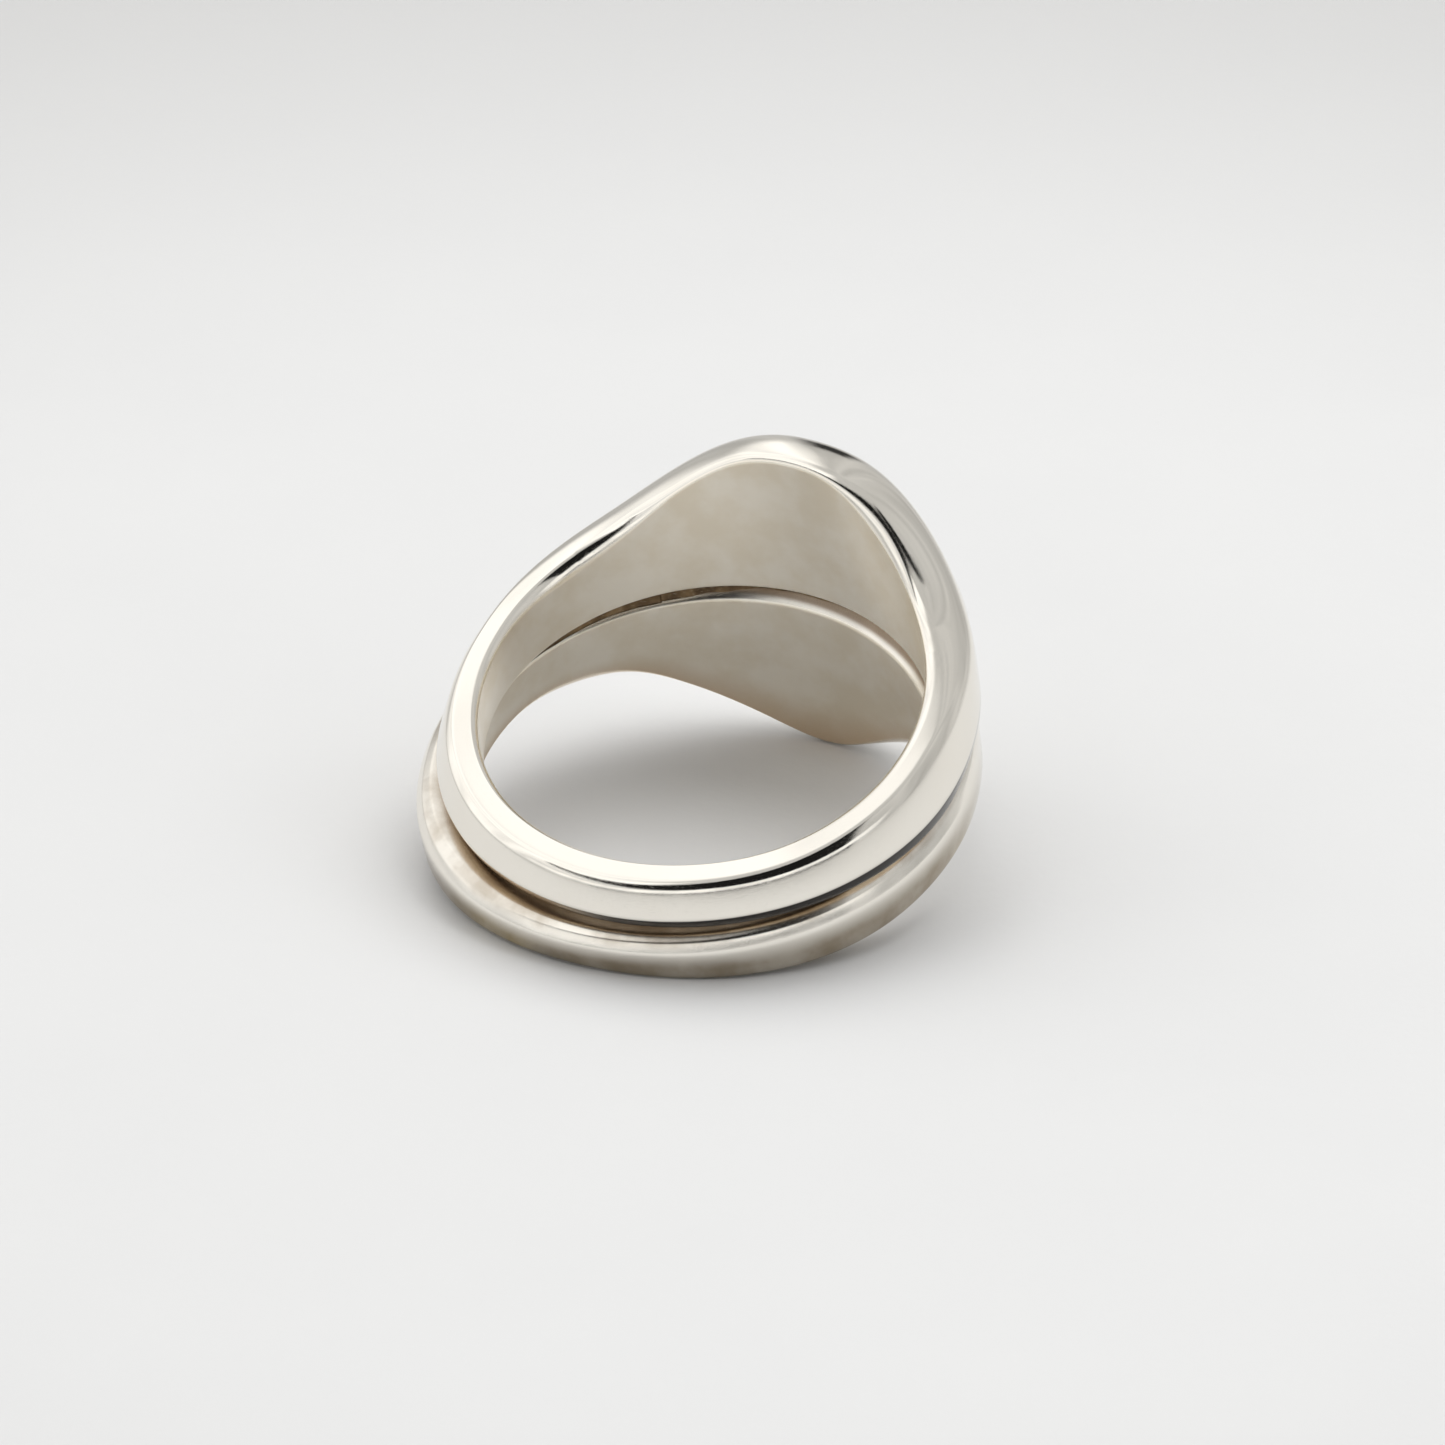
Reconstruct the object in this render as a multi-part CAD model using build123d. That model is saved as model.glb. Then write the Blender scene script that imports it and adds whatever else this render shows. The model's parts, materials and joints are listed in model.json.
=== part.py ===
from build123d import *
import math
import os

import numpy as np
from build123d.topology import SkipClean

# A double signet ring in cast silver, lying on its side. Two half-signet rings sit one
# above the other and share a head. Silver solder joins them from shoulder to shoulder.
# Behind the shoulders the two bands part, and leave a slit at the back of the shank.
# All dimensions are in millimetres and degrees.
#
# Each ring is drawn about its own bore axis: azimuth 0 is the middle of the head, azimuth
# 180 the back of the shank, and height 0 is the seam between the two rings.

# Bores. The lower ring is a little larger, and was soldered on slightly off centre.
UPPER_BORE_RADIUS = 8.65
LOWER_BORE_RADIUS = 9.05
LOWER_SHIFT = (-0.25, 0.45)

# Width of each ring from the seam to its outer rim, at stations round the band.
STATIONS = (0, 15, 30, 45, 60, 80, 110, 180)
UPPER_WIDTHS = (7.45, 7.15, 5.95, 4.55, 3.8, 3.3, 2.75, 2.4)
LOWER_WIDTHS = (7.8, 6.95, 5.4, 3.95, 3.25, 2.6, 2.5, 1.6)

# Each bore is reamed in two passes, the head's wall and then the band's: the azimuth
# where a pass starts, and how far round it goes.
REAMING_PASSES = ((-70, 140), (70, 220))

# Wall of each ring: the shank's thickness, what the head adds to it, what the upper band
# adds towards the back, and a swelling on the left of the lower band.
WALL = 1.73
HEAD_EXTRA = 0.9
HEAD_SHARPNESS = 8
UPPER_BAND_EXTRA = 0.33
LOWER_SWELL = 0.3
LOWER_SWELL_MIDDLE = 140
LOWER_SWELL_SPAN = 60

# How square the cushion-shaped section is: 2 is an ellipse, and more is squarer. The
# corner at the seam closes up to a square one where the two halves meet across the head.
RIM_SQUARENESS = 3.6
FACE_SQUARENESS = 3.1
HEAD_SEAM_SQUARENESS = 30
SEAM_OPENS = (35, 80)

# Behind the shoulders each band is filed to facets. A row is where a facet ends, going from
# rim to seam: shares of the wall out from the bore and of the half width up, then points.
UPPER_FACETS = ((0.50, 0.99, 7), (0.64, 0.76, 5), (0.90, -0.27, 8), (0.79, -0.92, 6))
LOWER_FACETS = ((0.96, 0.82, 7), (0.98, -0.42, 8), (0.82, -0.84, 6), (0.64, -0.99, 5))
FACETS_START = (48, 92)

# Softened inner edges. The rim's has a width at the back and at the head, and a slope: at
# the head, then what the back adds and what each shoulder adds, with its azimuth and span.
BACK_RIM_BEVEL = 0.12
HEAD_RIM_BEVEL = 0.5
RIM_SLOPE = 0.45
BACK_RIM_SLOPE = 0.4
SHOULDER_RIM_SLOPE = 0.85
SHOULDER_RIMS = ((62, 30), (-28, 24))
SEAM_BEVEL = 0.5

# The slit between the two bands at the back of the shank. The upper band stands clear of
# the seam there, and the lower one rises past it.
SLIT_MIDDLE = 189.5
SLIT_HALF_SPAN = 82.5
UPPER_SLIT = 0.49
LOWER_SLIT = -0.3

# The oval signet table across both halves: its distance from the upper bore's axis, its
# half width and half height, where its soft edge starts, as a share of the oval's size,
# how steeply it falls from there, how softly it meets the band, and the metal to file.
TABLE_DISTANCE = 10.6
TABLE_HALF_WIDTH = 5.4
TABLE_HALF_HEIGHT = 6.6
TABLE_EDGE = 0.92
TABLE_FALL = 11
TABLE_BLEND = 0.3
TABLE_STOCK = 0.08

# The solder run between the rings. It is thin where they meet, fills the roots of the
# grooves inside and outside, and is dressed flush across the head.
SOLDER_HALF_THICKNESS = 0.05
SOLDER_INNER_RADIUS = 9.35
SOLDER_REACH = 0.6
HEAD_SOLDER_RECESS = 0.1
SHOULDER_SOLDER_RECESS = 0.36
HEAD_SOLDER_HALF_SPAN = 40
SOLDER_STEP = 4

# How the ring lies: the bore axis leans back from the head, and rolls a little.
LEAN = 17.55
ROLL = 2.07

# Spacing of the cross-sections that each ring is lofted through, and points on each.
HEAD_STEP = 5
BAND_STEP = 10
HEAD_HALF_SPAN = 60
OUTLINE_POINTS = 31

# A block larger than the ring, for filing, and the metal left inside the bore to ream.
STOCK = 30
REAM = 0.2


def turned_from(angle, middle=0):
    """How far an azimuth is from another, whichever way round is shorter."""
    return abs((angle - middle + 180) % 360 - 180)


def ease(x):
    """A smooth step from 0 to 1."""
    x = min(max(x, 0.0), 1.0)
    return x * x * (3 - 2 * x)


def clamped_spline(stations, values, angle):
    """The value at an angle of a cubic spline that is level at both its ends."""
    x = np.array(stations, float)
    y = np.array(values, float)
    step = np.diff(x)
    slope = np.diff(y) / step
    last = len(x) - 1
    matrix = np.identity(len(x))
    right = np.zeros(len(x))
    for i in range(1, last):
        matrix[i, i - 1 : i + 2] = step[i], 2 * (step[i - 1] + step[i]), step[i - 1]
        right[i] = 3 * (step[i] * slope[i - 1] + step[i - 1] * slope[i])
    tangent = np.linalg.solve(matrix, right)
    away = turned_from(angle)
    i = min(int(np.searchsorted(x, away, side="right")) - 1, last - 1)
    t = (away - x[i]) / step[i]
    start = (1 + 2 * t) * (1 - t) ** 2 * y[i] + t * (1 - t) ** 2 * step[i] * tangent[i]
    end = t * t * (3 - 2 * t) * y[i + 1] + t * t * (t - 1) * step[i] * tangent[i + 1]
    return float(start + end)


def headness(angle):
    """1 in the middle of the head, 0 at the back of the shank."""
    return (1 + math.cos(math.radians(angle))) / 2


def wall(angle):
    return WALL + HEAD_EXTRA * headness(angle) ** HEAD_SHARPNESS


def upper_wall(angle):
    return wall(angle) + UPPER_BAND_EXTRA * abs(math.sin(math.radians(angle / 2)))


def lower_wall(angle):
    swell = ease(1 - turned_from(angle, LOWER_SWELL_MIDDLE) / LOWER_SWELL_SPAN)
    return wall(angle) + LOWER_SWELL * swell


def rim_bevel(angle):
    return BACK_RIM_BEVEL + (HEAD_RIM_BEVEL - BACK_RIM_BEVEL) * headness(angle)


def rim_drop(angle):
    """How far the inner rim bevel drops: steep by each shoulder, shallow between them."""
    shoulder = sum(ease(1 - turned_from(angle, middle) / span) for middle, span in SHOULDER_RIMS)
    slope = RIM_SLOPE + SHOULDER_RIM_SLOPE * shoulder + BACK_RIM_SLOPE * (1 - headness(angle))
    return rim_bevel(angle) * slope


def closing(angle):
    """1 where the two halves meet flush across the head, 0 behind the shoulders."""
    closed, opened = SEAM_OPENS
    return ease((opened - turned_from(angle)) / (opened - closed))


def seam_squareness(angle):
    return RIM_SQUARENESS * (HEAD_SEAM_SQUARENESS / RIM_SQUARENESS) ** closing(angle)


def seam_height(angle, slit):
    """Height of a ring's seam side above the seam: half the solder, and its side of the slit."""
    away = turned_from(angle, SLIT_MIDDLE) / SLIT_HALF_SPAN
    return SOLDER_HALF_THICKNESS + slit * max(0.0, 1 - away * away) ** 1.5


def on_cushion(turn, rim, seam):
    """Where a ray at a turn from straight up leaves a unit cushion, as (out, up)."""
    out, up = math.sin(turn), math.cos(turn)
    square = rim if up > 0 else seam
    inside, outside = 0.9, 1.5
    for _ in range(40):
        reach = (inside + outside) / 2
        if abs(reach * up) ** square + (reach * out) ** FACE_SQUARENESS < 1:
            inside = reach
        else:
            outside = reach
    return reach * out, reach * up


def turn_at(out, square):
    """The turn from the nearer end at which the unit cushion reaches this far out."""
    return math.atan2(out, (1 - out**FACE_SQUARENESS) ** (1 / square))


def with_table(radius, angle, height, share):
    """The outer radius raised to the signet table, where the table stands above the band."""
    if turned_from(angle) > HEAD_HALF_SPAN:
        return radius
    across = radius * math.sin(math.radians(angle)) / TABLE_HALF_WIDTH
    oval = math.hypot(across, height / TABLE_HALF_HEIGHT)
    top = TABLE_DISTANCE + TABLE_STOCK - TABLE_FALL * max(0.0, oval - TABLE_EDGE) ** 1.5
    stands = top / math.cos(math.radians(angle)) - radius
    return radius + (stands + math.hypot(stands, TABLE_BLEND)) / 2 * share**2


def faceted(first, last, facets):
    """A filed outside as (out, up) points from rim to seam, its corners softened."""
    rest = OUTLINE_POINTS - 1 - sum(points for _, _, points in facets)
    points = [(first, 1.0)]
    for out, up, count in (*facets, (last, -1.0, rest)):
        start_out, start_up = points[-1]
        step_out = (out - start_out) / count
        step_up = (up - start_up) / count
        points += [(start_out + step_out * i, start_up + step_up * i) for i in range(1, count + 1)]
    inner = [
        tuple((before + 2 * here + after) / 4 for before, here, after in zip(*three))
        for three in zip(points, points[1:], points[2:])
    ]
    return [points[0], *inner, points[-1]]


def outline(angle, ring):
    """The outside of one cross-section, from rim to seam, as (radius, height) points."""
    bore_radius, widths, wall_at, facets, slit = ring
    low = seam_height(angle, slit)
    high = clamped_spline(STATIONS, widths, angle)
    thick = wall_at(angle)
    square = seam_squareness(angle)
    start = rim_bevel(angle) / thick
    end = SEAM_BEVEL / thick
    first = turn_at(start, RIM_SQUARENESS)
    last = math.pi - turn_at(end, square)
    filed = ease((turned_from(angle) - FACETS_START[0]) / (FACETS_START[1] - FACETS_START[0]))
    points = []
    for i, (flat_out, flat_up) in enumerate(faceted(start, end, facets)):
        turn = first + (last - first) * i / (OUTLINE_POINTS - 1)
        out, up = on_cushion(turn, RIM_SQUARENESS, square)
        out += (flat_out - out) * filed
        up += (flat_up - up) * filed
        height = (low + high) / 2 + (high - low) / 2 * up
        radius = with_table(bore_radius + thick * out, angle, height, out)
        points.append((radius, height))
    return points


def inward(point, edge_height, bore_radius):
    """Where the bevel from a point to the bore's edge comes out, with the ream stock on."""
    run = point[0] - bore_radius
    return bore_radius - REAM, edge_height + (edge_height - point[1]) * REAM / run


def section(angle, ring):
    """One cross-section: bore wall, bevelled inner edges and filed or cushioned outside."""
    bore_radius, widths, _, _, slit = ring
    points = outline(angle, ring)
    rim_edge = clamped_spline(STATIONS, widths, angle) - rim_drop(angle)
    seam_edge = seam_height(angle, slit) + SEAM_BEVEL
    top = inward(points[0], rim_edge, bore_radius)
    bottom = inward(points[-1], seam_edge, bore_radius)
    upright = Plane(origin=(0, 0, 0), x_dir=(1, 0, 0), z_dir=(0, -1, 0)).rotated((0, 0, angle))
    top, bottom = (upright.from_local_coords(Vector(*point)) for point in (top, bottom))
    outside = [upright.from_local_coords(Vector(*point)) for point in points]
    even = [i / (OUTLINE_POINTS - 1) for i in range(OUTLINE_POINTS)]
    return Wire([
        Edge.make_line(bottom, top),
        Edge.make_line(top, outside[0]),
        Edge.make_spline(outside, parameters=even),
        Edge.make_line(outside[-1], bottom),
    ])


def half_signet(ring):
    """A closed ring above the seam, in two half turns, with its bore still to ream."""
    turns = (*range(0, HEAD_HALF_SPAN, HEAD_STEP), *range(HEAD_HALF_SPAN, 181, BAND_STEP))
    left = Solid.make_loft([section(turn, ring) for turn in turns])
    right = Solid.make_loft([section(360 - turn, ring) for turn in turns])
    return left.fuse(right).solid()


def finish(ring, bore_radius, centre):
    """The head filed to a flat table, then the bore reamed. Each pass keeps its own face."""
    table = Pos(TABLE_DISTANCE + STOCK / 2, 0, 0) * Box(STOCK, STOCK, STOCK)
    with SkipClean():
        ring = ring.cut(table)
        for first, span in REAMING_PASSES:
            align = (Align.NONE, Align.NONE, Align.CENTER)
            reamer = Cylinder(bore_radius, STOCK, arc_size=span, align=align)
            ring = ring.cut(Pos(*centre, 0) * Rot(0, 0, first) * reamer)
    return ring


def upper_ring():
    ring = half_signet((UPPER_BORE_RADIUS, UPPER_WIDTHS, upper_wall, UPPER_FACETS, UPPER_SLIT))
    return finish(ring, UPPER_BORE_RADIUS, (0, 0))


def lower_ring():
    ring = half_signet((LOWER_BORE_RADIUS, LOWER_WIDTHS, lower_wall, LOWER_FACETS, LOWER_SLIT))
    ring = mirror(ring, Plane.XY)
    return finish(Pos(*LOWER_SHIFT, 0) * ring, LOWER_BORE_RADIUS, LOWER_SHIFT)


def solder_edge(angle):
    """How far out the solder reaches at an azimuth, kept behind both rings' outsides."""
    along = math.cos(math.radians(angle))
    across = math.sin(math.radians(angle))
    shift = LOWER_SHIFT[0] * along + LOWER_SHIFT[1] * across
    thick = wall(angle)
    upper = with_table(UPPER_BORE_RADIUS + thick, angle, 0, 1)
    lower = with_table(LOWER_BORE_RADIUS + thick, angle, 0, 1) + shift
    recess = SHOULDER_SOLDER_RECESS + (HEAD_SOLDER_RECESS - SHOULDER_SOLDER_RECESS) * closing(angle)
    edge = min(upper, lower)
    if along > 0:
        edge = min(edge, TABLE_DISTANCE / along)
    return edge - recess


def solder(first, last, rings):
    """A band of solder from one azimuth to another, cut to the gap between the rings, with
    any sliver at its edge dressed away."""
    steps = max(2, round((last - first) / SOLDER_STEP))
    angles = [first + (last - first) * i / steps for i in range(steps + 1)]
    outer = Spline(*[Vector(solder_edge(a), 0).rotate(Axis.Z, a) for a in angles])
    centre = Vector(LOWER_SHIFT[0] / 2, LOWER_SHIFT[1] / 2)
    inner = CenterArc(centre, SOLDER_INNER_RADIUS, first, last - first)
    plate = make_face([outer, inner, Line(outer @ 0, inner @ 0), Line(outer @ 1, inner @ 1)])
    band = extrude(plate, SOLDER_REACH, both=True)
    for ring in rings:
        band -= ring
    return band.solids().sort_by(SortBy.VOLUME)[-1]


def make_parts():
    upper = upper_ring()
    lower = lower_ring()
    rings = (upper, lower)
    left_cusp = SLIT_MIDDLE - SLIT_HALF_SPAN
    right_cusp = SLIT_MIDDLE + SLIT_HALF_SPAN - 360
    span = HEAD_SOLDER_HALF_SPAN
    return {
        "upper_ring": upper,
        "lower_ring": lower,
        "head_solder": solder(-span, span, rings),
        "left_shoulder_solder": solder(span, left_cusp, rings),
        "right_shoulder_solder": solder(right_cusp, -span, rings),
    }


def lay_down(parts):
    """Turn the assembly to the way it lies, its box's bottom centre on the origin."""
    laid = {node: part.rotate(Axis.Y, -LEAN).rotate(Axis.X, ROLL) for node, part in parts.items()}
    box = Compound(list(laid.values())).bounding_box()
    centre = box.center()
    return {node: Pos(-centre.X, -centre.Y, -box.min.Z) * part for node, part in laid.items()}


os.makedirs("parts", exist_ok=True)
for node, part in lay_down(make_parts()).items():
    export_step(part, f"parts/{node}.step")
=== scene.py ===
import json
import math

import bpy
import numpy as np
from mathutils import Matrix, Vector, noise


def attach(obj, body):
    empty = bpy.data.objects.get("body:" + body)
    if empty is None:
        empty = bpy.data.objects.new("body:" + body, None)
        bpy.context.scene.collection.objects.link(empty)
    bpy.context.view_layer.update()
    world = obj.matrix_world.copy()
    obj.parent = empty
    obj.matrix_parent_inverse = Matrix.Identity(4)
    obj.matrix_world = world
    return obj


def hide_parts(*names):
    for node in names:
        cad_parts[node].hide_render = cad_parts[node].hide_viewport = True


# A double signet ring in polished silver, lying on its side on a pale surface. Two half
# rings are soldered together across the head, and the shank splits in two at the back.
# The rings are drawn in millimetres about the upper bore's axis, then placed by the mounts.

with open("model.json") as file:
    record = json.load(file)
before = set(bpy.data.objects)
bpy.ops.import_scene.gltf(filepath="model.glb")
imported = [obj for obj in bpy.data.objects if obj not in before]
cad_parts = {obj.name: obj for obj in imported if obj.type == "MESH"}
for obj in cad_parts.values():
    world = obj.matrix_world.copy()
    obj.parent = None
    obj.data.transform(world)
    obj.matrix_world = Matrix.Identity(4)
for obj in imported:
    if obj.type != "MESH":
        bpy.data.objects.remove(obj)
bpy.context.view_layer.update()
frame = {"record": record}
MM = 0.001

# Bores, the lower ring's offset, and each ring's width from the seam to its outer rim at
# these degrees from the middle of the head. The mount height is the upper mount's, above
# the seam.
UPPER_BORE_RADIUS = 8.65
LOWER_BORE_RADIUS = 9.05
LOWER_SHIFT = (-0.25, 0.45)
STATIONS = (0, 15, 30, 45, 60, 80, 110, 180)
UPPER_WIDTHS = (7.45, 7.15, 5.95, 4.55, 3.8, 3.3, 2.75, 2.4)
LOWER_WIDTHS = (7.8, 6.95, 5.4, 3.95, 3.25, 2.6, 2.5, 1.6)
UPPER_MOUNT_HEIGHT = 3.89

# The section across the head is a cushion. The wall thickens towards the table, and each
# band has a little more of its own. Squareness is the power of the cushion's curve.
WALL = 1.73
UPPER_BAND_EXTRA = 0.33
HEAD_EXTRA = 0.9
HEAD_SHARPNESS = 8
LOWER_SWELL = 0.3
LOWER_SWELL_MIDDLE = 140
LOWER_SWELL_SPAN = 60
RIM_SQUARENESS = 3.6
FACE_SQUARENESS = 3.1
HEAD_SEAM_SQUARENESS = 30
SEAM_OPENS = (35, 80)

# Behind the shoulders each band is filed to facets. A row is where a facet ends, going from
# rim to seam: shares of the wall out from the bore and of the half width up, then points.
UPPER_FACETS = ((0.50, 0.99, 24), (0.64, 0.76, 18), (0.90, -0.27, 30), (0.79, -0.92, 20))
LOWER_FACETS = ((0.96, 0.82, 24), (0.98, -0.42, 30), (0.82, -0.84, 22), (0.64, -0.99, 16))
FACET_CROWN = 0.006
FACET_SOFTNESS = 12
FACETS_START = (48, 92)

# The bevel inside the rim, crowned in the head and steeper by the shoulders, and the bevel
# that makes half of the V groove along the seam. A shoulder is its middle and half span in
# degrees.
BACK_RIM_BEVEL = 0.12
HEAD_RIM_BEVEL = 0.5
RIM_CROWN = 0.07
RIM_SLOPE = 0.45
BACK_RIM_SLOPE = 0.4
SHOULDER_RIM_SLOPE = 0.85
SHOULDER_RIMS = ((62, 30), (-28, 24))
SEAM_BEVEL = 0.5

# The slit at the back in degrees, and how far each half draws back from the seam there. The
# lower half reaches past the seam instead, so its value is negative.
SLIT_MIDDLE = 189.5
SLIT_HALF_SPAN = 82.5
UPPER_SLIT = 0.49
LOWER_SLIT = -0.3
SOLDER_HALF_THICKNESS = 0.05

# The signet table: its plane, the oval that it fills, and how it falls away at the edge.
TABLE_DISTANCE = 10.6
TABLE_ROUNDING = 0.06
TABLE_HALF_WIDTH = 5.4
TABLE_HALF_HEIGHT = 6.6
TABLE_EDGE = 0.92
TABLE_FALL = 11
TABLE_BLEND = 0.3
HEAD_HALF_SPAN = 60

# The solder in the seam, behind the skin outside and the bore inside.
SOLDER_INNER_RADIUS = 9.35
SOLDER_REACH = 0.42
SHOULDER_SOLDER_RECESS = 0.36
HEAD_SOLDER_RECESS = 0.1
HEAD_SOLDER_HALF_SPAN = 40
SOLDER_HOLLOW = 0.16
SOLDER_FLOW = 0.05
SOLDER_OUTER_SINK = 0.08
SOLDER_INNER_SINK = 0.05

# How finely the meshes are divided: round the ring, along each run of the section, and
# along the solder, in degrees.
AROUND = 720
OUTSIDE_POINTS = 110
BEVEL_POINTS = 12
BORE_POINTS = 36
SOLDER_POINTS = 15
SOLDER_STEP = 0.5

# Hand finishing: how far the metal wanders from true, and how far in from the skin the
# dimples fade, in millimetres.
RIM_WANDER = 0.05
WALL_WANDER = 0.03
DIMPLES = 0.006
DIMPLE_SIZE = 2.6
SKIN_DEPTH = 0.4

# The two half rings. Side is 1 above the seam and -1 below it, and extra and swell thicken
# the back of the band and one stretch of it.
UPPER_HALF = {
    "side": 1, "seed": 11, "shift": (0, 0), "bore": UPPER_BORE_RADIUS,
    "widths": UPPER_WIDTHS, "slit": UPPER_SLIT, "facets": UPPER_FACETS,
    "extra": UPPER_BAND_EXTRA, "swell": 0,
}
LOWER_HALF = {
    "side": -1, "seed": 23, "shift": LOWER_SHIFT, "bore": LOWER_BORE_RADIUS,
    "widths": LOWER_WIDTHS, "slit": LOWER_SLIT, "facets": LOWER_FACETS,
    "extra": 0, "swell": LOWER_SWELL,
}


def ring_space():
    """The rings' own space in the row: the bore axis is +Z and the table faces +X."""
    mounts = {mount["name"]: mount for mount in frame["record"]["mounts"]}
    up = Vector(mounts["upper_finger_bore"]["axis"]).normalized()
    face = Vector(mounts["signet_table"]["axis"])
    face = (face - up * face.dot(up)).normalized()
    origin = Vector(mounts["upper_finger_bore"]["pos_m"]) - up * UPPER_MOUNT_HEIGHT * MM
    space = Matrix((face, up.cross(face), up)).transposed().to_4x4()
    space.translation = origin
    return space


SPACE = ring_space()


def turned_from(angle, middle=0.0):
    return np.abs((angle - middle + 180) % 360 - 180)


def ease(x):
    x = np.clip(x, 0, 1)
    return x * x * (3 - 2 * x)


def fade(value, none, full):
    """0 where a value is at none, eased to 1 where it is at full."""
    return ease((value - none) / (full - none))


def clamped_spline(stations, values, angle):
    """A cubic spline through the stations that is level at both its ends."""
    x = np.array(stations, float)
    y = np.array(values, float)
    step = np.diff(x)
    slope = np.diff(y) / step
    last = len(x) - 1
    matrix = np.identity(len(x))
    right = np.zeros(len(x))
    for i in range(1, last):
        matrix[i, i - 1 : i + 2] = step[i], 2 * (step[i - 1] + step[i]), step[i - 1]
        right[i] = 3 * (step[i] * slope[i - 1] + step[i - 1] * slope[i])
    tangent = np.linalg.solve(matrix, right)
    away = turned_from(angle)
    i = np.clip(np.searchsorted(x, away, side="right") - 1, 0, last - 1)
    t = (away - x[i]) / step[i]
    start = (1 + 2 * t) * (1 - t) ** 2 * y[i] + t * (1 - t) ** 2 * step[i] * tangent[i]
    end = t * t * (3 - 2 * t) * y[i + 1] + t * t * (t - 1) * step[i] * tangent[i + 1]
    return start + end


def wander(angle, seed, slowest=2, fastest=9):
    """A smooth closed unevenness round the ring, from about -1 to 1."""
    random = np.random.default_rng(seed)
    total = np.zeros_like(angle, dtype=float)
    for waves in range(slowest, fastest + 1):
        phase = random.uniform(0, 2 * math.pi)
        total += np.sin(np.radians(angle) * waves + phase) * random.uniform(0.5, 1) * slowest / waves
    return total / 2


def headness(angle):
    return (1 + np.cos(np.radians(angle))) / 2


def wall(angle):
    return WALL + HEAD_EXTRA * headness(angle) ** HEAD_SHARPNESS


def rim_bevel(angle):
    return BACK_RIM_BEVEL + (HEAD_RIM_BEVEL - BACK_RIM_BEVEL) * headness(angle)


def closing(angle):
    """1 where the halves meet flush across the head, 0 behind the shoulders."""
    closed, opened = SEAM_OPENS
    return fade(turned_from(angle), opened, closed)


def seam_height(angle, slit):
    away = turned_from(angle, SLIT_MIDDLE) / SLIT_HALF_SPAN
    return SOLDER_HALF_THICKNESS + slit * np.maximum(0, 1 - away * away) ** 1.5


def on_cushion(turn, rim, seam):
    """Where rays at these turns from straight up leave a unit cushion, as (out, up)."""
    out, up = np.sin(turn), np.cos(turn)
    square = np.where(up > 0, rim, seam)
    inside, outside = np.full_like(turn, 0.9), np.full_like(turn, 1.5)
    for _ in range(36):
        reach = (inside + outside) / 2
        within = np.abs(reach * up) ** square + (reach * out) ** FACE_SQUARENESS < 1
        inside = np.where(within, reach, inside)
        outside = np.where(within, outside, reach)
    return reach * out, reach * up


def turn_at(out, square):
    return np.arctan2(out, (1 - out**FACE_SQUARENESS) ** (1 / square))


def with_table(radius, angle, height, share):
    """The outer radius raised to the signet table, where the table stands above the band."""
    near = turned_from(angle) < HEAD_HALF_SPAN
    along = np.where(near, np.cos(np.radians(angle)), 1)
    across = radius * np.sin(np.radians(angle)) / TABLE_HALF_WIDTH
    oval = np.hypot(across, height / TABLE_HALF_HEIGHT)
    top = TABLE_DISTANCE - TABLE_FALL * np.maximum(0, oval - TABLE_EDGE) ** 1.5
    stands = top / along - radius
    raised = radius + (stands + np.hypot(stands, TABLE_BLEND)) / 2 * share**2
    return np.where(near, raised, radius)


def smoothed(values, passes):
    """Soften the corners of an open run of points, whose ends stay."""
    for _ in range(passes):
        inner = (values[:, :-2] + 2 * values[:, 1:-1] + values[:, 2:]) / 4
        values = np.hstack((values[:, :1], inner, values[:, -1:]))
    return values


def faceted(first, last, facets):
    """The band's outside as shares of the wall and the half width, from rim to seam."""
    rest = OUTSIDE_POINTS - sum(points for _, _, points in facets)
    ends = [(out + 0 * first, up + 0 * first, points) for out, up, points in facets]
    ends.append((last, -1 + 0 * first, rest))
    from_out, from_up = first, 1 + 0 * first
    outs, ups = [], []
    for out, up, points in ends:
        share = np.arange(points)[None, :] / (points - (out is last))
        outs.append(from_out + (out - from_out) * share + FACET_CROWN * 4 * share * (1 - share))
        ups.append(from_up + (up - from_up) * share)
        from_out, from_up = out, up
    return smoothed(np.hstack(outs), FACET_SOFTNESS), smoothed(np.hstack(ups), FACET_SOFTNESS)


def rim_drop(angle):
    """How far the inner rim bevel drops: steep by each shoulder, shallow between them."""
    shoulder = sum(fade(turned_from(angle, middle), span, 0) for middle, span in SHOULDER_RIMS)
    slope = RIM_SLOPE + SHOULDER_RIM_SLOPE * shoulder + BACK_RIM_SLOPE * (1 - headness(angle))
    return rim_bevel(angle) * slope


def outside_run(angle, thick, facets, filed):
    """The outside from rim to seam, as shares of the wall and of the half width."""
    bevel = rim_bevel(angle)
    seam = RIM_SQUARENESS * (HEAD_SEAM_SQUARENESS / RIM_SQUARENESS) ** closing(angle)
    first = turn_at(bevel / thick, RIM_SQUARENESS)
    last = math.pi - turn_at(SEAM_BEVEL / thick, seam)
    turn = first + (last - first) * np.linspace(0, 1, OUTSIDE_POINTS)[None, :]
    out, up = on_cushion(turn, RIM_SQUARENESS, seam + 0 * turn)
    flat_out, flat_up = faceted(bevel / thick, SEAM_BEVEL / thick, facets)
    return out + (flat_out - out) * filed, up + (flat_up - up) * filed


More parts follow.
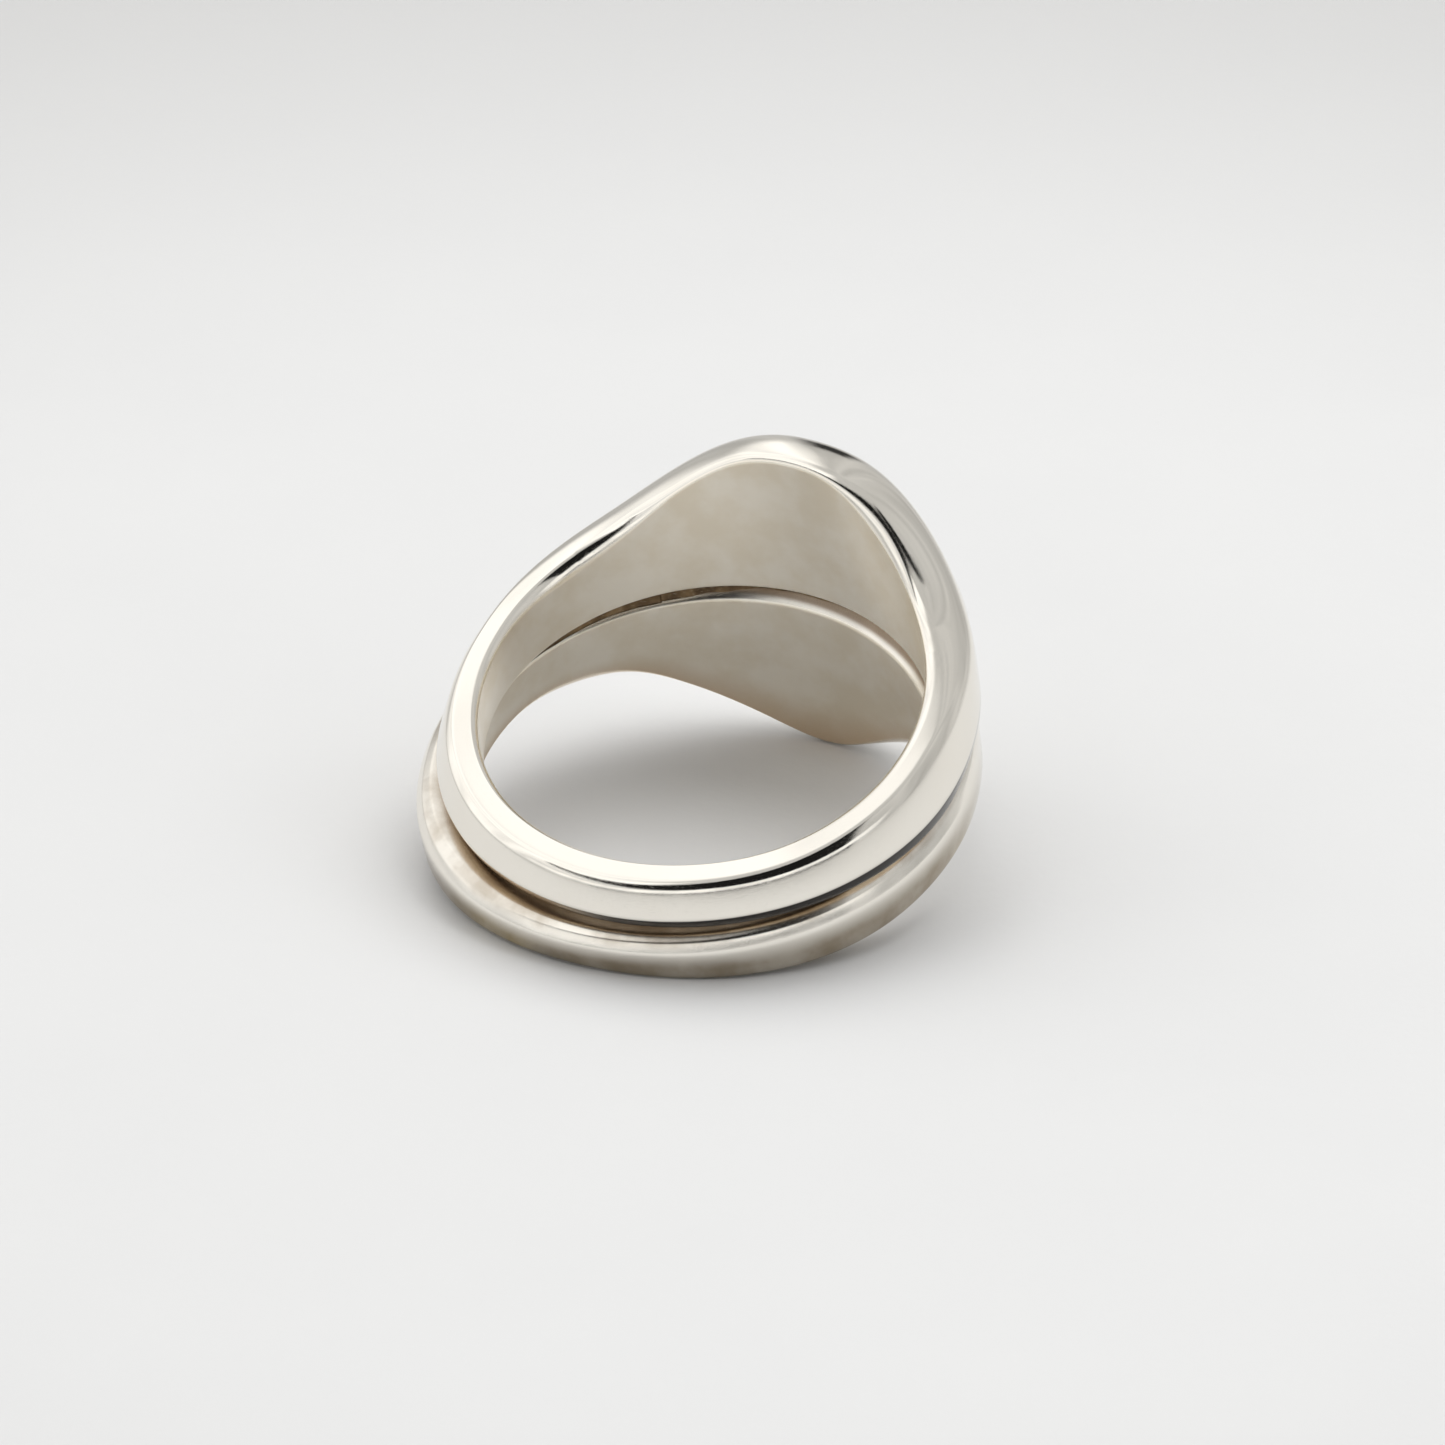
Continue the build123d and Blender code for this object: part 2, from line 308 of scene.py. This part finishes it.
def sections(angle, ring):
    """Every section's radius and height, the share of its width, and how filed it is."""
    angle = angle[:, None]
    bore = ring["bore"]
    low = seam_height(angle, ring["slit"])
    high = clamped_spline(STATIONS, ring["widths"], angle) + RIM_WANDER * wander(angle, ring["seed"])
    thick = wall(angle) + WALL_WANDER * wander(angle, ring["seed"] + 1)
    thick = thick + ring["extra"] * (1 - headness(angle)) ** 0.5
    thick = thick + ring["swell"] * fade(turned_from(angle, LOWER_SWELL_MIDDLE), LOWER_SWELL_SPAN, 0)
    filed = fade(turned_from(angle), *FACETS_START)
    out, up = outside_run(angle, thick, ring["facets"], filed)
    height = (low + high) / 2 + (high - low) / 2 * up
    radius = with_table(bore + thick * out, angle, height, out)
    seam_edge = low + SEAM_BEVEL
    rim_edge = high - rim_drop(angle)
    across = np.linspace(0, 1, BEVEL_POINTS + 1)[None, 1:]
    seam_radius = radius[:, -1:] + (bore - radius[:, -1:]) * across
    seam_rise = height[:, -1:] + (seam_edge - height[:, -1:]) * across
    climb = (1 - np.cos(np.linspace(0, math.pi, BORE_POINTS + 1)))[None, 1:] / 2
    bore_rise = seam_edge + (rim_edge - seam_edge) * climb
    bore_wall = np.full_like(bore_rise, bore)
    back = across[:, :-1]
    crown = RIM_CROWN * headness(angle) * 4 * back * (1 - back)
    rim_radius = bore + (radius[:, :1] - bore) * back - crown
    rim_rise = rim_edge + (height[:, :1] - rim_edge) * back + crown
    radius = np.hstack((radius, seam_radius, bore_wall, rim_radius))
    height = np.hstack((height, seam_rise, bore_rise, rim_rise))
    for _ in range(3):
        radius = (np.roll(radius, 1, 1) + 2 * radius + np.roll(radius, -1, 1)) / 4
        height = (np.roll(height, 1, 1) + 2 * height + np.roll(height, -1, 1)) / 4
    around = np.clip((height - low) / (high - low), 0, 1)
    return radius, height, around, filed


def dimples(radius, height, turn, seed):
    """A slow unevenness over the whole surface, from about -1 to 1."""
    x, y = radius * np.cos(turn), radius * np.sin(turn)
    places = np.stack((x, y, height), -1).reshape(-1, 3)
    start = Vector((seed, 0, 0))
    rough = [noise.noise(Vector(place) / DIMPLE_SIZE + start) for place in places.tolist()]
    return np.array(rough).reshape(radius.shape)


def finishes_and_shade(ring, angle, radius, height, around, filed, skin):
    """How much of each finish, painted shade and painted reflection every point has, from 0 to 1, and
    which way the grain runs.

    Out is from the bore, rise is from the seam, and around is the share of the width.
    """
    turn = np.radians(angle)[:, None]
    out = radius - ring["bore"]
    rise = height - seam_height(angle, ring["slit"])[:, None]
    above, below = filed * skin * max(ring["side"], 0), filed * skin * max(-ring["side"], 0)
    ahead_out = np.diff(radius, axis=1, append=radius[:, :1])
    ahead_up = np.diff(height, axis=1, append=height[:, :1])
    along = np.cumsum(np.hypot(ahead_out, ahead_up), 1)
    grain = np.stack((np.cos(turn) + 0 * along, np.sin(turn) + 0 * along, along / 4), -1)
    # The groove mask is painted shade over tarnish: it darkens the inner V groove along the seam,
    # standing in for the reflected shade of the bore.
    groove = fade(out, 0.1, 0.3) * fade(rise, 0.64, 0.24) * fade(out, 1.35, 0.45)
    shares = {
        "bore": fade(out, 0.12, 0),
        "seam": fade(rise, 0.9, 0),
        "groove": groove,
        # The next mask is painted shade in the slit: the upper band's outside near the seam behind the
        # shoulders.
        "slit_shade": above * fade(around, 0.34, 0.31) * fade(around, 0.05, 0.08),
        # The next mask is a painted reflection: a thin gold line along the upper band's lower edge
        # behind the shoulders.
        "gold_edge_reflection": above * fade(np.abs(around - 0.045), 0.045, 0),
        # The dark mask turns the painted slit shade near black past the slit's middle.
        "dark": fade(angle[:, None], 160, 190) + 0 * radius,
        # The under mask is tarnish and painted shade: the lower band's outside darkens towards the
        # table, standing in for the reflected contact shadow.
        "under": below * fade(around, 0.25, 0.65),
        # The edge mask is tarnish and painted shade: inside the lower bore, warm brown towards the rim
        # by the table.
        "edge": (1 - skin) * fade(around, 0.65, 1) * max(-ring["side"], 0),
    }
    values = {name: share.ravel() for name, share in shares.items()}
    values["grain"] = grain.reshape(-1, 3)
    return values


def grid_faces(rows, columns, round_rows):
    """Quads of a grid whose columns close on themselves, and whose rows may."""
    row = np.arange(rows if round_rows else rows - 1)
    a, b = np.meshgrid(row, np.arange(columns), indexing="ij")
    c, d = (a + 1) % rows, (b + 1) % columns
    quads = np.stack((a * columns + b, a * columns + d, c * columns + d, c * columns + b), -1)
    return quads.reshape(-1, 4)


def add_values(mesh, name, values):
    layer = mesh.attributes.new(name, "FLOAT" if values.ndim == 1 else "FLOAT_VECTOR", "POINT")
    layer.data.foreach_set("value" if values.ndim == 1 else "vector", values.astype(np.float32).ravel())


def build(name, points, faces, values):
    """An object from points in the rings' own space, smooth shaded, with its values."""
    mesh = bpy.data.meshes.new(name)
    placed = np.array(SPACE.to_3x3()) @ (points.T * MM)
    mesh.from_pydata((placed.T + np.array(SPACE.translation)).tolist(), [], faces.tolist())
    mesh.update()
    mesh.shade_smooth()
    for key, value in values.items():
        add_values(mesh, key, value)
    piece = bpy.data.objects.new(name, mesh)
    bpy.context.scene.collection.objects.link(piece)
    return piece


def half_ring(name, node, ring, material):
    """One half signet, its outside dimpled and its table left flat."""
    angle = np.arange(AROUND) * 360 / AROUND
    turn = np.radians(angle)[:, None]
    radius, height, around, filed = sections(angle, ring)
    skin = np.clip((radius - ring["bore"]) / SKIN_DEPTH, 0, 1)
    radius = radius + DIMPLES * dimples(radius, height, turn, ring["seed"]) * skin
    x = radius * np.cos(turn) + ring["shift"][0]
    y = radius * np.sin(turn) + ring["shift"][1]
    over = x - TABLE_DISTANCE
    rounded = (over + TABLE_ROUNDING) ** 2 / (4 * TABLE_ROUNDING)
    x = x - np.where(np.abs(over) < TABLE_ROUNDING, rounded, np.maximum(over, 0))
    points = np.stack((x, y, ring["side"] * height), -1).reshape(-1, 3)
    faces = grid_faces(AROUND, radius.shape[1], True)
    if ring["side"] < 0:
        faces = faces[:, ::-1]
    values = finishes_and_shade(ring, angle, radius, height, around, filed, skin)
    piece = build(name, points, faces, values)
    piece.data.materials.append(material)
    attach(piece, "root")
    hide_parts(node)
    return piece


def lower_shift(angle):
    """How much farther out the lower ring lies at an angle than the upper one."""
    return LOWER_SHIFT[0] * np.cos(np.radians(angle)) + LOWER_SHIFT[1] * np.sin(np.radians(angle))


def solder_edge(angle):
    """How far out the solder reaches, kept behind both rings' outsides and the table."""
    upper = with_table(UPPER_BORE_RADIUS + wall(angle), angle, 0, 1)
    lower = with_table(LOWER_BORE_RADIUS + wall(angle), angle, 0, 1) + lower_shift(angle)
    recess = SHOULDER_SOLDER_RECESS + (HEAD_SOLDER_RECESS - SHOULDER_SOLDER_RECESS) * closing(angle)
    table = TABLE_DISTANCE / np.maximum(np.cos(np.radians(angle)), 0.3)
    return np.minimum(np.minimum(upper, lower), table) - recess


def solder_run(name, node, first, last, seed, material):
    """A run of solder in the seam, hollowed between the rings inside and outside."""
    steps = int((last - first) / SOLDER_STEP) + 1
    angle = np.linspace(first, last, steps)[:, None]
    rise = np.linspace(-1, 1, SOLDER_POINTS)[None, :]
    flow = SOLDER_FLOW * wander(angle * 5, seed, 2, 12)
    hollow = SOLDER_HOLLOW * rise**2
    opened = 1 - closing(angle)
    outer = solder_edge(angle) - SOLDER_OUTER_SINK + hollow * (0.1 + 0.9 * opened) + flow * opened
    inner = SOLDER_INNER_RADIUS + lower_shift(angle) / 2 + SOLDER_INNER_SINK - hollow + flow
    radius = np.hstack((outer, inner))
    height = np.hstack((0 * angle + rise, 0 * angle + rise[:, ::-1])) * SOLDER_REACH
    turn = np.radians(angle)
    points = np.stack((radius * np.cos(turn), radius * np.sin(turn), height), -1)
    grain = np.stack((np.cos(turn) + 0 * radius, np.sin(turn) + 0 * radius, height), -1)
    columns = radius.shape[1]
    faces = grid_faces(steps, columns, False).tolist()
    faces.append(list(range(columns)))
    faces.append([(steps - 1) * columns + column for column in reversed(range(columns))])
    faces = np.array(faces, dtype=object)
    piece = build(name, points.reshape(-1, 3), faces, {"grain": grain.reshape(-1, 3)})
    piece.data.materials.append(material)
    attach(piece, "root")
    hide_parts(node)
    return piece


class Nodes:
    """Short ways to add and join shader nodes."""

    def __init__(self, tree):
        self.tree = tree
        tree.nodes.clear()

    def add(self, kind, inputs=(), **settings):
        node = self.tree.nodes.new(kind)
        for key, value in settings.items():
            setattr(node, key, value)
        for key, value in dict(inputs).items():
            self.put(node, key, value)
        return node

    def put(self, node, key, value):
        if isinstance(value, bpy.types.NodeSocket):
            self.tree.links.new(value, node.inputs[key])
        else:
            node.inputs[key].default_value = value

    def math(self, operation, a, b=0.0, clamp=False):
        node = self.add("ShaderNodeMath", {0: a, 1: b}, operation=operation, use_clamp=clamp)
        return node.outputs[0]

    def steps(self, value, low, high, start=0.0, end=1.0):
        """A smooth change from start to end as a value goes from low to high."""
        inputs = {"Value": value, "From Min": low, "From Max": high, "To Min": start, "To Max": end}
        return self.add("ShaderNodeMapRange", inputs, interpolation_type="SMOOTHSTEP").outputs[0]

    def mix(self, share, a, b):
        return self.add("ShaderNodeMix", {0: share, 6: a, 7: b}, data_type="RGBA").outputs[2]

    def noise(self, vector, scale, detail=3.0, rough=0.55, distortion=0.0):
        inputs = {"Vector": vector, "Scale": scale, "Detail": detail}
        inputs.update({"Roughness": rough, "Distortion": distortion})
        return self.add("ShaderNodeTexNoise", inputs).outputs[0]

    def value(self, name, output):
        return self.add("ShaderNodeAttribute", attribute_name=name).outputs[output]

    def stretched(self, vector, scale):
        return self.add("ShaderNodeMapping", {"Vector": vector, "Scale": scale}).outputs[0]


def new_material(name):
    material = bpy.data.materials.new(name)
    material.use_nodes = True
    return material, Nodes(material.node_tree)


def surface(nodes, **inputs):
    """End a material in one surface shader."""
    named = {key.replace("_", " "): value for key, value in inputs.items()}
    shader = nodes.add("ShaderNodeBsdfPrincipled", named)
    nodes.add("ShaderNodeOutputMaterial", {"Surface": shader.outputs[0]})


def silver():
    """Polished silver, satin in the bores, scratched, and tarnished brown in the seams, with painted
    shade in the inner groove, the slit and towards the table, and a painted reflection along the upper
    band's lower edge.
    """
    material, n = new_material("polished_silver")
    bore = n.value("bore", "Fac")
    seam = n.value("seam", "Fac")
    groove = n.value("groove", "Fac")
    grain = n.value("grain", "Vector")
    place = n.add("ShaderNodeTexCoord").outputs["Object"]
    cloud = n.noise(place, 420, 4)
    fine = n.noise(place, 2600, 3)
    brushing = n.noise(n.stretched(grain, (6, 6, 60)), 5, 5, 0.65)
    scratch = n.noise(n.stretched(grain, (9, 9, 260)), 4, 2, 0.6, 0.4)
    hairs = n.steps(scratch, 0.66, 0.74)
    clean = n.mix(cloud, (0.845, 0.805, 0.73, 1), (0.885, 0.855, 0.79, 1))
    satin = n.mix(n.steps(cloud, 0.35, 0.65), (0.90, 0.83, 0.70, 1), (0.97, 0.92, 0.82, 1))
    colour = n.mix(bore, clean, satin)
    stain = n.math("MULTIPLY", seam, n.steps(cloud, 0.25, 0.75, 0.45, 1.0))
    colour = n.mix(n.steps(stain, 0.45, 1.0, 0.0, 0.55), colour, (0.36, 0.28, 0.19, 1))
    # Painted shade over tarnish: the inner V groove turns dark brown.
    colour = n.mix(n.math("MULTIPLY", groove, 0.85), colour, (0.17, 0.11, 0.06, 1))
    # Painted shade in the slit: brown, and near black past the slit's middle.
    slit_shade_colour = n.mix(n.value("dark", "Fac"), (0.5, 0.38, 0.24, 1), (0.03, 0.026, 0.024, 1))
    colour = n.mix(n.value("slit_shade", "Fac"), colour, slit_shade_colour)
    # Painted reflection: a thin gold line along the upper band's lower edge.
    colour = n.mix(n.math("MULTIPLY", n.value("gold_edge_reflection", "Fac"), 0.7), colour, (0.62, 0.44, 0.25, 1))
    # Tarnish and painted shade: the lower band's outside turns dark brown towards the table.
    under = n.math("MULTIPLY", n.value("under", "Fac"), n.steps(cloud, 0.3, 0.7, 0.6, 1.0))
    patches = n.steps(n.noise(place, 160, 2), 0.5, 0.72)
    grime_and_shade = n.mix(patches, (0.34, 0.285, 0.21, 1), (0.52, 0.40, 0.17, 1))
    colour = n.mix(under, colour, grime_and_shade)
    # Tarnish and painted shade: warm brown inside the lower bore towards the rim by the table.
    colour = n.mix(n.math("MULTIPLY", n.value("edge", "Fac"), 0.6), colour, (0.62, 0.43, 0.25, 1))
    polish = n.steps(cloud, 0.35, 0.75, 0.05, 0.11)
    dull = n.steps(brushing, 0.3, 0.7, 0.28, 0.42)
    rough = n.add("ShaderNodeMix", {0: bore, 2: polish, 3: dull}).outputs[0]
    rough = n.math("ADD", rough, n.math("MULTIPLY", seam, 0.16))
    rough = n.math("ADD", rough, n.math("MULTIPLY", hairs, 0.12), clamp=True)
    depth = n.math("ADD", n.math("MULTIPLY", brushing, 0.5), n.math("MULTIPLY", fine, 0.25))
    depth = n.math("SUBTRACT", depth, n.math("MULTIPLY", hairs, 0.5))
    bump = n.add("ShaderNodeBump", {"Height": depth, "Strength": 0.1, "Distance": 0.00002})
    surface(n, Base_Color=colour, Metallic=1.0, Roughness=rough, Normal=bump.outputs[0])
    return material


def tarnished_solder():
    """Satin solder, brown to orange in the groove."""
    material, n = new_material("tarnished_solder")
    place = n.add("ShaderNodeTexCoord").outputs["Object"]
    grain = n.value("grain", "Vector")
    cloud = n.noise(place, 700, 4)
    flow = n.noise(n.stretched(grain, (8, 8, 3)), 6, 4)
    colour = n.mix(n.steps(cloud, 0.35, 0.65), (0.09, 0.06, 0.035, 1), (0.26, 0.18, 0.10, 1))
    colour = n.mix(n.steps(flow, 0.55, 0.75, 0.0, 0.4), colour, (0.6, 0.5, 0.38, 1))
    rough = n.steps(cloud, 0.3, 0.7, 0.3, 0.5)
    bump = n.add("ShaderNodeBump", {"Height": flow, "Strength": 0.3, "Distance": 0.00006})
    surface(n, Base_Color=colour, Metallic=1.0, Roughness=rough, Normal=bump.outputs[0])
    return material


def paper():
    """Pale matt board with a faint tooth, painted darker away from its middle."""
    material, n = new_material("pale_board")
    place = n.add("ShaderNodeTexCoord").outputs["Object"]
    tooth = n.noise(place, 1500, 5, 0.6)
    colour = n.mix(n.noise(place, 90, 3), (0.725, 0.728, 0.735, 1), (0.75, 0.753, 0.757, 1))
    # Painted shade: the board darkens from 35 to 120 mm out from its middle, a painted falloff of
    # light, so the polish reflects a dimmer floor far off.
    away = n.add("ShaderNodeVectorMath", {0: place}, operation="LENGTH").outputs["Value"]
    colour = n.mix(n.steps(away, 0.035, 0.12), colour, (0.55, 0.55, 0.55, 1))
    bump = n.add("ShaderNodeBump", {"Height": tooth, "Strength": 0.25, "Distance": 0.00008})
    surface(n, Base_Color=colour, Roughness=0.85, Specular_IOR_Level=0.2, Normal=bump.outputs[0])
    return material


def floor():
    """A large board under the ring."""
    size = 1.5
    corners = [(-size, -size, 0), (size, -size, 0), (size, size, 0), (-size, size, 0)]
    mesh = bpy.data.meshes.new("floor")
    mesh.from_pydata(corners, [], [(0, 1, 2, 3)])
    board = bpy.data.objects.new("floor", mesh)
    bpy.context.scene.collection.objects.link(board)
    mesh.materials.append(paper())


# The camera stands behind the shank, and looks down into the head. The heading turns
# clockwise from +Y, and the centre and width are of what it sees, in millimetres.
VIEW_HEADING = 61.5
VIEW_ELEVATION = 26.97
VIEW_DISTANCE = 330
VIEW_CENTRE = (0.50, 2.31)
VIEW_WIDTH = 55.8
SENSOR_WIDTH = 36


def camera():
    turn = Matrix.Rotation(-math.radians(VIEW_HEADING), 3, "Z")
    rise = math.radians(VIEW_ELEVATION)
    back = Vector((0, -math.cos(rise), math.sin(rise)))
    stand = Vector((*VIEW_CENTRE, 0)) + back * VIEW_DISTANCE
    data = bpy.data.cameras.new("camera")
    data.sensor_width = SENSOR_WIDTH
    data.lens = SENSOR_WIDTH * VIEW_DISTANCE / VIEW_WIDTH
    data.clip_start, data.clip_end = 0.01, 20
    eye = bpy.data.objects.new("camera", data)
    bpy.context.scene.collection.objects.link(eye)
    eye.location = SPACE.translation + turn @ stand * MM
    eye.rotation_euler = (math.pi / 2 - rise, 0, -math.radians(VIEW_HEADING))
    bpy.context.scene.camera = eye


def area_light(name, bearing, elevation, distance, size, power, colour):
    """A soft panel aimed at the ring. Its bearing is clockwise from the view heading."""
    turn = -math.radians(VIEW_HEADING + bearing)
    rise = math.radians(elevation)
    towards = Matrix.Rotation(turn, 3, "Z") @ Vector((0, math.cos(rise), math.sin(rise)))
    data = bpy.data.lights.new(name, "AREA")
    data.shape, data.size, data.size_y = "RECTANGLE", size[0], size[1]
    data.energy, data.color = power, colour
    lamp = bpy.data.objects.new(name, data)
    bpy.context.scene.collection.objects.link(lamp)
    lamp.location = towards * distance
    lamp.rotation_euler = towards.to_track_quat("Z", "Y").to_euler()
    lamp.visible_glossy = False


# Bright and dark cards round the pale room, in degrees: bearings from and to, the bottom's
# elevation at each of these, then the top's, how soft the edges are, and the brightness.
# A bearing of 0 is the side that the camera stands on, and bearings grow to its right.
CARDS = (
    (-178, -38, 30, 30, 72, 72, 8, 1.35),
    (-140, -78, 2, 2, 44, 44, 8, 1.25),
    (-76, 62, 4, 4, 24, 24, 3, 1.2),
    (-76, 62, -12, -12, 4, 4, 2, 0.8),
    (100, 150, -4, -4, 12, 12, 5, 0.7),
    (-72, 45, 35, 20, 40, 68, 1.2, 0.013),
    (-50, 52, -0.2, -0.2, 1.5, 3.5, 1, 0.013),
    (164, 177, 8, 8, 32, 32, 3, 0.05),
)


def studio():
    """A pale room with cards for the polish to reflect, and two soft panels."""
    world = bpy.data.worlds.new("studio")
    world.use_nodes = True
    bpy.context.scene.world = world
    n = Nodes(world.node_tree)
    ray = n.add("ShaderNodeTexCoord").outputs["Generated"]
    heading = {"Vector": ray, "Angle": math.radians(VIEW_HEADING)}
    turned = n.add("ShaderNodeVectorRotate", heading, rotation_type="Z_AXIS")
    parts = n.add("ShaderNodeSeparateXYZ", {0: turned.outputs[0]})
    x, y, z = parts.outputs
    bearing = n.math("MULTIPLY", n.math("ARCTAN2", x, n.math("MULTIPLY", y, -1)), 180 / math.pi)
    rise = n.math("MULTIPLY", n.math("ARCSINE", z), 180 / math.pi)
    # The bare room is a little brighter overhead.
    bright = n.steps(rise, 10, 50, 0.62, 0.70)
    for west, east, bottom_west, bottom_east, top_west, top_east, soft, level in CARDS:
        top = n.steps(bearing, west, east, top_west, top_east)
        bottom = n.steps(bearing, west, east, bottom_west, bottom_east)
        inside = n.math("MULTIPLY", n.steps(bearing, west - soft, west + soft),
                        n.steps(bearing, east - soft, east + soft, 1, 0))
        under = n.steps(n.math("SUBTRACT", rise, top), -soft, soft, 1, 0)
        over = n.steps(n.math("SUBTRACT", rise, bottom), -soft, soft)
        card = n.math("MULTIPLY", inside, n.math("MULTIPLY", under, over))
        bright = n.add("ShaderNodeMix", {0: card, 2: bright, 3: level}).outputs[0]
    # Tall, faint panes keep the reflections from being even.
    across, up = n.math("DIVIDE", bearing, 13), n.math("DIVIDE", rise, 60)
    panes = n.noise(n.add("ShaderNodeCombineXYZ", {0: across, 1: up}).outputs[0], 1, 2)
    bright = n.math("MULTIPLY", bright, n.steps(panes, 0.3, 0.7, 0.84, 1.12))
    colour = n.add("ShaderNodeCombineColor", {0: bright, 1: bright, 2: bright}).outputs[0]
    warmth = {0: 1.0, 6: colour, 7: (1.0, 0.995, 0.985, 1)}
    colour = n.add("ShaderNodeMix", warmth, data_type="RGBA", blend_type="MULTIPLY").outputs[2]
    # The camera itself sees a plain backdrop.
    seen = n.add("ShaderNodeLightPath").outputs["Is Camera Ray"]
    colour = n.mix(seen, colour, (0.86, 0.86, 0.865, 1))
    light = n.add("ShaderNodeBackground", {"Color": colour, "Strength": 0.9})
    n.add("ShaderNodeOutputWorld", {"Surface": light.outputs[0]})
    area_light("key", 22, 70, 0.7, (0.7, 0.6), 2.35, (1.0, 0.985, 0.95))
    area_light("fill", 95, 50, 0.7, (0.6, 0.5), 0.9, (0.96, 0.98, 1.0))


polished = silver()
half_ring("upper_half_ring", "upper_ring", UPPER_HALF, polished)
half_ring("lower_half_ring", "lower_ring", LOWER_HALF, polished)
tarnished = tarnished_solder()
left_cusp = SLIT_MIDDLE - SLIT_HALF_SPAN
right_cusp = SLIT_MIDDLE + SLIT_HALF_SPAN - 360
span = HEAD_SOLDER_HALF_SPAN
solder_run("head_seam", "head_solder", -span, span, 31, tarnished)
solder_run("left_seam", "left_shoulder_solder", span, left_cusp, 37, tarnished)
solder_run("right_seam", "right_shoulder_solder", right_cusp, -span, 41, tarnished)
floor()
camera()
studio()
bpy.context.scene.view_settings.view_transform = "Standard"
